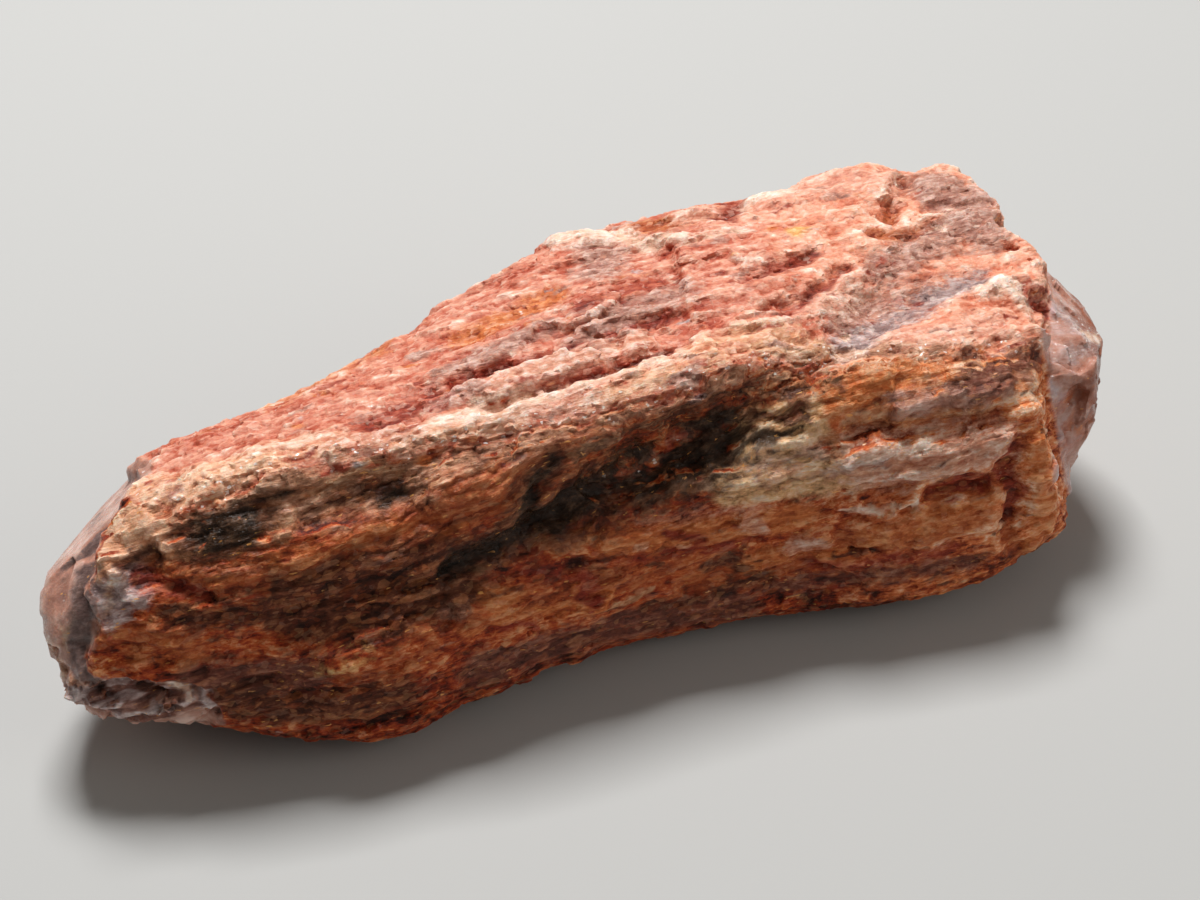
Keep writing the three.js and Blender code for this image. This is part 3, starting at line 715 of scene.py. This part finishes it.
def keep_colours(skin):
    """Stores, on the skin's vertices, what the finish reads."""
    places = places_of(skin)
    facing = directions_of(skin)
    zones = Zones(places, facing)
    ragged = wavered(places, 0.3, 1.2, seed=111)
    for name in TINTS:
        amount = strewn(places, zones, name)
        for mark, on_face in all_marks(zones):
            if mark.tint == name:
                distance, _ = path_distance(ragged, mark.path, mark.face)
                near = mark.strength * np.exp(-(distance / (1.3 * mark.width)) ** 2) * on_face
                amount = np.maximum(amount, near)
        keep_on_skin(skin, name, amount)
    keep_on_skin(skin, "top", zones.top)
    keep_on_skin(skin, "edge", zones.edge * zones.mantle)
    keep_on_skin(skin, "right", zones.right)
    keep_on_skin(skin, "bare", zones.bare)
    # painted shade: the front is darker low down, most at the wide end, and over the upper left of the front
    keep_on_skin(skin, "shade", zones.low * (1 + 0.6 * zones.right) + 0.4 * zones.left * (1 - zones.low))
    keep_on_skin(skin, "past_tip", zones.past_tip)
    keep_on_skin(skin, "past_wide", zones.past_wide)
    # how far the skin stands out; the finish darkens hollows by it, which is painted shade, and pales what
    # stands out
    for name, rounds, full in (("fine_relief", 4, 0.08), ("broad_relief", 40, 0.35)):
        standing_out = ((places - averaged(skin, places, rounds)) * facing).sum(axis=1)
        keep_on_skin(skin, name, np.clip(0.5 + 0.5 * standing_out / full, 0, 1))
    vector = skin.data.attributes.new("grain", "FLOAT_VECTOR", "POINT")
    vector.data.foreach_set("vector", grain_flow(places, zones.front).astype(np.float32).ravel())


# ---------------------------------------------------------------- the finish

PATTERN_STRIDES = (7.13, 3.71, 5.37)  # how far apart in a pattern two seeds look, in cells
# the colour sockets of a mix node, whose names its other sockets share
MIX_UNDER, MIX_OVER, MIX_RESULT = 6, 7, 2


def put(tree, socket, value):
    """Sets a socket to a plain value, or links another node's output to it."""
    if isinstance(value, bpy.types.NodeSocket):
        tree.links.new(value, socket)
    else:
        socket.default_value = value


def calc(tree, operation, a, b=0.0):
    node = tree.nodes.new("ShaderNodeMath")
    node.operation = operation
    put(tree, node.inputs[0], a)
    put(tree, node.inputs[1], b)
    return node.outputs[0]


def vector_calc(tree, operation, a, b):
    node = tree.nodes.new("ShaderNodeVectorMath")
    node.operation = operation
    put(tree, node.inputs[0], a)
    put(tree, node.inputs[1], b)
    return node


def total(tree, *parts):
    """The sum of (value, share) pairs."""
    result = 0.0
    for value, share in parts:
        result = calc(tree, "ADD", result, calc(tree, "MULTIPLY", value, share))
    return result


def kept(tree, name):
    node = tree.nodes.new("ShaderNodeAttribute")
    node.attribute_name = name
    return node.outputs["Fac"]


def ramped(tree, value, low, high):
    """0 below low, 1 above high, and smooth between them."""
    node = tree.nodes.new("ShaderNodeMapRange")
    node.interpolation_type = "SMOOTHSTEP"
    put(tree, node.inputs["Value"], value)
    node.inputs["From Min"].default_value = low
    node.inputs["From Max"].default_value = high
    return node.outputs["Result"]


def stretched(tree, where, blob, seed):
    mapping = tree.nodes.new("ShaderNodeMapping")
    mapping.inputs["Location"].default_value = [stride * seed for stride in PATTERN_STRIDES]
    mapping.inputs["Scale"].default_value = [1 / size for size in blob]
    put(tree, mapping.inputs["Vector"], where)
    return mapping.outputs[0]


def mottle(tree, where, blob, seed, detail=3.0, rough=0.55):
    """Noise from 0 to 1 in blobs of the given size, in millimetres along each axis."""
    node = tree.nodes.new("ShaderNodeTexNoise")
    node.inputs["Scale"].default_value = 1.0
    node.inputs["Detail"].default_value = detail
    node.inputs["Roughness"].default_value = rough
    put(tree, node.inputs["Vector"], stretched(tree, where, blob, seed))
    return node.outputs["Fac"]


def cells(tree, where, blob, seed):
    """Grains of the given size: two random shares for each."""
    node = tree.nodes.new("ShaderNodeTexVoronoi")
    node.inputs["Scale"].default_value = 1.0
    put(tree, node.inputs["Vector"], stretched(tree, where, blob, seed))
    split = tree.nodes.new("ShaderNodeSeparateColor")
    put(tree, split.inputs[0], node.outputs["Color"])
    return split.outputs[0], split.outputs[1]


def graded(tree, value, colours, steps=None):
    """Runs through the colours as the value goes from 0 to 1, evenly unless steps say where each one is."""
    node = tree.nodes.new("ShaderNodeValToRGB")
    ramp = node.color_ramp
    while len(ramp.elements) < len(colours):
        ramp.elements.new(0.5)
    for i, (element, colour) in enumerate(zip(ramp.elements, colours)):
        element.position = steps[i] if steps else i / (len(colours) - 1)
        element.color = (*colour, 1)
    put(tree, node.inputs[0], value)
    return node.outputs["Color"]


def laid_over(tree, share, under, over):
    node = tree.nodes.new("ShaderNodeMix")
    node.data_type = "RGBA"
    put(tree, node.inputs[0], share)
    for k, value in ((MIX_UNDER, under), (MIX_OVER, over)):
        put(tree, node.inputs[k], value if isinstance(value, bpy.types.NodeSocket) else (*value, 1))
    return node.outputs[MIX_RESULT]


# Colours run from the hollows and dark streaks to the raised and pale ones.
FRONT_FIBRES = [(0.022, 0.005, 0.003), (0.11, 0.013, 0.005), (0.33, 0.04, 0.01), (0.56, 0.115, 0.028),
                (0.8, 0.36, 0.17)]
FRONT_GRAINS = [(0.025, 0.007, 0.003), (0.26, 0.018, 0.006), (0.62, 0.15, 0.025), (0.8, 0.38, 0.17),
                (0.46, 0.26, 0.2)]
TOP_GRAINS = [(0.36, 0.035, 0.016), (0.78, 0.27, 0.12), (0.97, 0.8, 0.66), (0.86, 0.5, 0.38),
              (0.42, 0.2, 0.16)]
WIDE_FIBRES = [(0.075, 0.013, 0.006), (0.32, 0.05, 0.014), (0.66, 0.17, 0.05), (0.84, 0.35, 0.16),
               (0.96, 0.66, 0.47)]
TOP_CRUMBS = [(0.27, 0.035, 0.018), (0.46, 0.095, 0.05), (0.61, 0.215, 0.138), (0.74, 0.37, 0.26),
              (0.92, 0.7, 0.58)]
WIDE_CRUMBS = [(0.34, 0.065, 0.032), (0.58, 0.165, 0.088), (0.75, 0.32, 0.205), (0.86, 0.49, 0.35),
               (0.96, 0.77, 0.65)]
TIP_DUST = [(0.2, 0.085, 0.06), (0.52, 0.26, 0.19), (0.76, 0.54, 0.46)]
WIDE_END = [(0.28, 0.1, 0.06), (0.46, 0.23, 0.17), (0.56, 0.37, 0.33), (0.52, 0.4, 0.41),
            (0.78, 0.68, 0.64)]
WIDE_END_STEPS = (0.0, 0.3, 0.55, 0.75, 1.0)
TINTS = {
    "umber": [(0.12, 0.042, 0.022), (0.46, 0.22, 0.125), (0.82, 0.54, 0.38)],
    "rust": [(0.16, 0.024, 0.008), (0.4, 0.085, 0.024), (0.62, 0.22, 0.08)],
    "orange": [(0.34, 0.06, 0.016), (0.6, 0.17, 0.046), (0.84, 0.4, 0.18)],
    "tan": [(0.24, 0.075, 0.03), (0.5, 0.23, 0.11), (0.78, 0.54, 0.34)],
    "olive": [(0.16, 0.07, 0.022), (0.8, 0.47, 0.23), (1.0, 0.86, 0.64)],
    "salmon": [(0.48, 0.14, 0.085), (0.72, 0.34, 0.235), (0.9, 0.64, 0.5)],
    "peach": [(0.46, 0.15, 0.07), (0.76, 0.4, 0.235), (0.95, 0.74, 0.55)],
    "blush": [(0.4, 0.11, 0.055), (0.66, 0.33, 0.22), (0.92, 0.74, 0.64)],
    "mauve": [(0.17, 0.06, 0.042), (0.4, 0.2, 0.15), (0.7, 0.48, 0.41)],
    "lilac": [(0.15, 0.085, 0.078), (0.4, 0.29, 0.275), (0.8, 0.7, 0.68)],
    "plum": [(0.05, 0.015, 0.01), (0.16, 0.052, 0.034), (0.34, 0.15, 0.1)],
    "crimson": [(0.075, 0.008, 0.005), (0.28, 0.03, 0.014), (0.56, 0.13, 0.07)],
    "cream": [(0.52, 0.26, 0.16), (0.82, 0.56, 0.42), (0.98, 0.9, 0.81)],
    "dusk": [(0.06, 0.026, 0.013), (0.2, 0.105, 0.058), (0.42, 0.26, 0.16)],
    "peat": [(0.016, 0.004, 0.002), (0.08, 0.022, 0.01), (0.28, 0.1, 0.048)],
    "night": [(0.006, 0.004, 0.002), (0.026, 0.014, 0.008), (0.1, 0.056, 0.032)],
    "slate": [(0.055, 0.033, 0.032), (0.15, 0.098, 0.09), (0.32, 0.22, 0.2)],
    "gold": [(0.44, 0.16, 0.04), (0.75, 0.38, 0.12), (1.0, 0.75, 0.36)],
}
TINT_STEPS = (0.1, 0.5, 0.9)


def swing(tree, *parts):
    """The weighted sum of patterns that each run from 0 to 1, kept centred on 0.5."""
    result = 0.5
    for value, weight in parts:
        result = calc(tree, "ADD", result, calc(tree, "MULTIPLY", calc(tree, "SUBTRACT", value, 0.5), weight))
    return result


def odd_ones(tree, grain_tone, ragged, plain):
    """Picks single grains by their tone, with torn edges, and lets them show as much as `plain` says."""
    picked = ramped(tree, swing(tree, (grain_tone, 1.0), (ragged, 1.2)), 0.55, 0.85)
    return calc(tree, "MULTIPLY", picked, plain)


def facet_tilts(tree, where, blob, seed):
    """The height, in cells, of small flat faces that each lean their own way."""
    inside = stretched(tree, where, blob, seed)
    node = tree.nodes.new("ShaderNodeTexVoronoi")
    node.inputs["Scale"].default_value = 1.0
    put(tree, node.inputs["Vector"], inside)
    from_middle = vector_calc(tree, "SUBTRACT", inside, node.outputs["Position"]).outputs["Vector"]
    lean = vector_calc(tree, "SUBTRACT", node.outputs["Color"], (0.5, 0.5, 0.5)).outputs["Vector"]
    return vector_calc(tree, "DOT_PRODUCT", from_middle, lean).outputs["Value"]


def stone_finish():
    material = bpy.data.materials.new("cacoxenite_amethyst")
    material.use_nodes = True
    tree = material.node_tree
    tree.nodes.clear()
    output = tree.nodes.new("ShaderNodeOutputMaterial")
    shader = tree.nodes.new("ShaderNodeBsdfPrincipled")
    tree.links.new(shader.outputs[0], output.inputs["Surface"])

    scale = tree.nodes.new("ShaderNodeVectorMath")
    scale.operation = "SCALE"
    scale.inputs["Scale"].default_value = 1 / MM
    put(tree, scale.inputs[0], tree.nodes.new("ShaderNodeTexCoord").outputs["Object"])
    where = scale.outputs[0]
    grain_node = tree.nodes.new("ShaderNodeAttribute")
    grain_node.attribute_name = "grain"
    grain = grain_node.outputs["Vector"]
    top = kept(tree, "top")
    edge = kept(tree, "edge")
    bare = kept(tree, "bare")
    # these darken the colour in hollows, which is painted shade, and pale it where the skin stands out
    fine_relief = kept(tree, "fine_relief")
    broad_relief = kept(tree, "broad_relief")

    patches = mottle(tree, where, (4.0, 2.0, 2.0), seed=1, detail=2.0)
    bands = mottle(tree, grain, (7.0, 1.8, 1.8), seed=12, rough=0.6)
    blotches = mottle(tree, where, (1.3, 0.8, 0.8), seed=11, rough=0.6)
    fibres = mottle(tree, grain, (3.0, 0.5, 0.5), seed=2, detail=4.0, rough=0.7)
    hairs = mottle(tree, grain, (1.4, 0.12, 0.12), seed=3, rough=0.6)
    grit = mottle(tree, where, (0.5, 0.32, 0.32), seed=4, detail=4.0, rough=0.7)
    ragged = mottle(tree, grain, (1.2, 0.45, 0.45), seed=5, detail=4.0, rough=0.72)

    grain_tone, grain_hue = cells(tree, grain, (0.9, 0.34, 0.34), seed=41)
    crumb_tone, crumb_hue = cells(tree, where, (0.34, 0.24, 0.24), seed=42)
    # the kept shade darkens these streaks as painted shade
    streaks = swing(tree, (fibres, 1.3), (hairs, 0.7), (grit, 1.1), (bands, 1.2), (blotches, 1.3),
                    (grain_tone, 0.13), (crumb_tone, 0.16), (fine_relief, 0.2), (broad_relief, 0.25),
                    (kept(tree, "shade"), -0.3))
    wide = kept(tree, "right")
    front_colour = laid_over(tree, wide, graded(tree, streaks, FRONT_FIBRES),
                             graded(tree, streaks, WIDE_FIBRES))
    crumbling = swing(tree, (grit, 0.9), (blotches, 1.1), (fibres, 0.6), (patches, 0.8), (crumb_tone, 0.12),
                      (fine_relief, 0.3), (broad_relief, 0.35))
    top_colour = laid_over(tree, wide, graded(tree, crumbling, TOP_CRUMBS),
                           graded(tree, crumbling, WIDE_CRUMBS))
    on_top = ramped(tree, swing(tree, (top, 1.0), (ragged, 1.0)), 0.2, 0.8)
    colour = laid_over(tree, on_top, front_colour, top_colour)

    # the bare ends: dusty pink-brown at the tip, lilac to red-brown away from the mantle at the wide end
    smoke = mottle(tree, where, (1.6, 1.6, 1.6), seed=8, detail=4.0)
    haze = swing(tree, (smoke, 1.5), (grit, 0.4), (fine_relief, 0.3))
    past_tip = kept(tree, "past_tip")
    away = swing(tree, (haze, 1.1), (ragged, 0.5), (kept(tree, "past_wide"), -0.3))
    at_wide_end = ramped(tree, past_tip, 10, 20)
    bare_colour = laid_over(tree, at_wide_end, graded(tree, haze, TIP_DUST, TINT_STEPS),
                            graded(tree, away, WIDE_END, WIDE_END_STEPS))
    colour = laid_over(tree, bare, colour, bare_colour)

    # the tints lie over those, in their order, with torn edges
    tone = swing(tree, (fibres, 1.0), (hairs, 0.5), (grit, 0.8), (blotches, 0.7), (grain_tone, 0.12),
                 (crumb_tone, 0.14), (fine_relief, 0.3), (broad_relief, 0.2))
    tearing = total(tree, (1.0, 1.4), (bare, -0.9))
    for name, colours in TINTS.items():
        amount = swing(tree, (kept(tree, name), 1.0), (ragged, tearing), (grit, 0.5))
        share = calc(tree, "MULTIPLY", ramped(tree, amount, 0.3, 0.95), 0.92)
        colour = laid_over(tree, share, colour, graded(tree, tone, colours, TINT_STEPS))

    # single grains of other colours, long ones down the front and short ones on the top
    plain = total(tree, (1.0, 0.17), (on_top, 0.05), (kept(tree, "night"), -0.16), (bare, -0.16))
    odd = odd_ones(tree, grain_tone, ragged, plain)
    colour = laid_over(tree, calc(tree, "MULTIPLY", odd, calc(tree, "SUBTRACT", 1.0, on_top)), colour,
                       graded(tree, grain_hue, FRONT_GRAINS))
    odd = odd_ones(tree, crumb_tone, ragged, plain)
    crumb_colour = laid_over(tree, on_top, graded(tree, crumb_hue, FRONT_GRAINS),
                             graded(tree, crumb_hue, TOP_GRAINS))
    colour = laid_over(tree, odd, colour, crumb_colour)

    # painted glints: bright crystal specks on the crest and the top, and golden needles along the front
    chance, _ = cells(tree, where, (0.17, 0.12, 0.12), seed=21)
    chance = total(tree, (chance, 1.0), (edge, 0.04), (on_top, 0.03), (bare, 0.02), (blotches, 0.08),
                   (1.0, -0.085))
    glint_specks = ramped(tree, chance, 0.98, 1.0)
    colour = laid_over(tree, calc(tree, "MULTIPLY", glint_specks, 0.7), colour, (0.97, 0.90, 0.84))
    # the golden needles are partly the stone's golden fibres and partly painted glints
    chance, _ = cells(tree, grain, (0.32, 0.07, 0.07), seed=22)
    chance = total(tree, (chance, 1.0), (on_top, -0.1), (blotches, 0.12), (1.0, -0.075))
    needles_and_glints = ramped(tree, chance, 0.972, 0.99)
    colour = laid_over(tree, calc(tree, "MULTIPLY", needles_and_glints, 0.7), colour, (0.90, 0.42, 0.11))
    put(tree, shader.inputs["Base Color"], colour)

    gloss = ramped(tree, ragged, 0.4, 0.65)
    rough = total(tree, (1.0, 0.58), (gloss, -0.2), (glint_specks, -0.2), (needles_and_glints, -0.2), (bare, -0.22),
                  (kept(tree, "night"), -0.2))
    put(tree, shader.inputs["Roughness"], rough)
    shader.inputs["Specular IOR Level"].default_value = 0.15
    shader.inputs["Subsurface Weight"].default_value = 0.3
    shader.inputs["Subsurface Radius"].default_value = (1.0, 0.4, 0.25)
    shader.inputs["Subsurface Scale"].default_value = 0.25 * MM
    glaze = total(tree, (bare, 0.3), (glint_specks, 0.8), (needles_and_glints, 0.5))
    put(tree, shader.inputs["Coat Weight"], glaze)
    shader.inputs["Coat Roughness"].default_value = 0.22
    shader.inputs["Coat IOR"].default_value = 1.5

    # heights in millimetres
    bump = tree.nodes.new("ShaderNodeBump")
    bump.inputs["Distance"].default_value = MM
    fine = total(tree, (facet_tilts(tree, where, (0.55, 0.4, 0.4), seed=31), 0.12),
                 (facet_tilts(tree, where, (0.24, 0.2, 0.2), seed=32), 0.06), (hairs, 0.06), (grit, 0.08))
    put(tree, bump.inputs["Height"], calc(tree, "MULTIPLY", fine, total(tree, (1.0, 1.0), (bare, -0.6))))
    put(tree, shader.inputs["Normal"], bump.outputs[0])
    return material


# ---------------------------------------------------------------- the studio

def direction(turn, rise):
    """From the crystal towards a viewer or a light: 0 is in front (-Y), 90 is off the wide end (+X)."""
    turn = math.radians(turn)
    rise = math.radians(rise)
    return Vector((math.sin(turn) * math.cos(rise), -math.cos(turn) * math.cos(rise), math.sin(rise)))


def set_up(name, data, aim, turn, rise, away):
    """Puts a light or a camera at a distance from what it looks at."""
    thing = bpy.data.objects.new(name, data)
    bpy.context.scene.collection.objects.link(thing)
    back = direction(turn, rise)
    thing.location = aim + back * away
    thing.rotation_euler = back.to_track_quat("Z", "Y").to_euler()
    return thing


def soft_box(name, middle, turn, rise, away, size, power, tone=(1, 1, 1)):
    data = bpy.data.lights.new(name, "AREA")
    data.energy = power
    data.color = tone
    data.size = size
    set_up(name, data, middle, turn, rise, away)


def pale_floor(size):
    mesh = bpy.data.meshes.new("floor")
    bm = bmesh.new()
    bmesh.ops.create_grid(bm, x_segments=1, y_segments=1, size=size)
    bm.to_mesh(mesh)
    bm.free()
    floor = bpy.data.objects.new("floor", mesh)
    floor.location = (0, 0, LOW.z)
    bpy.context.scene.collection.objects.link(floor)
    paint = bpy.data.materials.new("pale_floor")
    paint.use_nodes = True
    surface = paint.node_tree.nodes["Principled BSDF"]
    surface.inputs["Base Color"].default_value = (0.44, 0.44, 0.43, 1)
    surface.inputs["Roughness"].default_value = 0.8
    mesh.materials.append(paint)
    return floor


def camera_on(aim, turn, rise, away, lens):
    data = bpy.data.cameras.new("camera")
    data.lens = lens
    data.sensor_width = 36
    data.clip_start = 0.01
    return set_up("camera", data, aim, turn, rise, away)


def studio():
    length = HIGH.x - LOW.x
    middle = (LOW + HIGH) / 2
    pale_floor(size=40 * length)
    soft_box("key", middle, turn=174, rise=65, away=6 * length, size=1.8 * length, power=1.9)
    soft_box("fill", middle, turn=50, rise=30, away=7 * length, size=4 * length, power=0.35,
             tone=(1, 0.93, 0.86))
    world = bpy.data.worlds.new("studio")
    world.use_nodes = True
    world.node_tree.nodes["Background"].inputs["Color"].default_value = (1.0, 0.96, 0.91, 1)
    world.node_tree.nodes["Background"].inputs["Strength"].default_value = 0.16
    bpy.context.scene.world = world
    bpy.context.scene.view_settings.view_transform = "Standard"
    aim = Vector(spot(0.518, 0.492, 0.463) * MM)
    bpy.context.scene.camera = camera_on(aim, turn=-21, rise=42, away=2.12 * length, lens=70)


crystal = bare_skin()
carve_forms(crystal)
even_out(crystal)
carve_grain(crystal)
keep_colours(crystal)
thin_out(crystal)
for polygon in crystal.data.polygons:
    polygon.use_smooth = True
crystal.data.set_sharp_from_angle(angle=math.radians(SHARP_FROM))
crystal.data.materials.clear()
crystal.data.materials.append(stone_finish())
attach(crystal, "root")
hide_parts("crystal")

studio()
